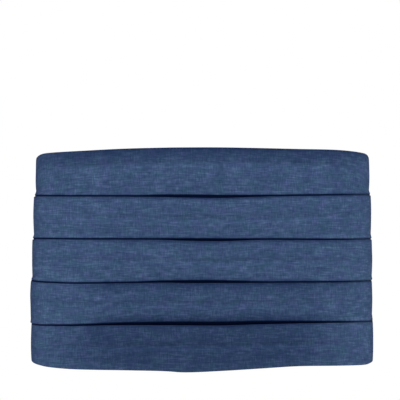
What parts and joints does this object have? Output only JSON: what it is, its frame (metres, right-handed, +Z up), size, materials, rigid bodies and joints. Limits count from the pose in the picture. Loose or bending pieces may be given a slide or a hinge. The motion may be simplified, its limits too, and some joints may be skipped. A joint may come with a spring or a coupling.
{
  "type": "cummerbund",
  "caption": "Pleated cloth waist sash closed in a loop as worn, its folded edges up, narrowing at the back to two straps joined by a plain flat clasp.",
  "frame": {"origin": "middle of the loop where the waist goes, at half the height of the front", "axes": "+Z up, +X to the right as seen from the front, and the front of the band faces -Y"},
  "size_m": [0.2309, 0.1203, 0.1508],
  "materials": {
    "pleat_cloth": "matt navy plain weave with a slub",
    "strap_cloth": "matt navy plain weave with a slub",
    "clasp_metal": "satin plated"
  },
  "bodies": {
    "root": {"pleat_1": "pleat_cloth", "pleat_2": "pleat_cloth", "pleat_3": "pleat_cloth", "pleat_4": "pleat_cloth", "pleat_5": "pleat_cloth", "strap_left": "strap_cloth", "strap_right": "strap_cloth", "clasp": "clasp_metal"}
  },
  "joints": []
}
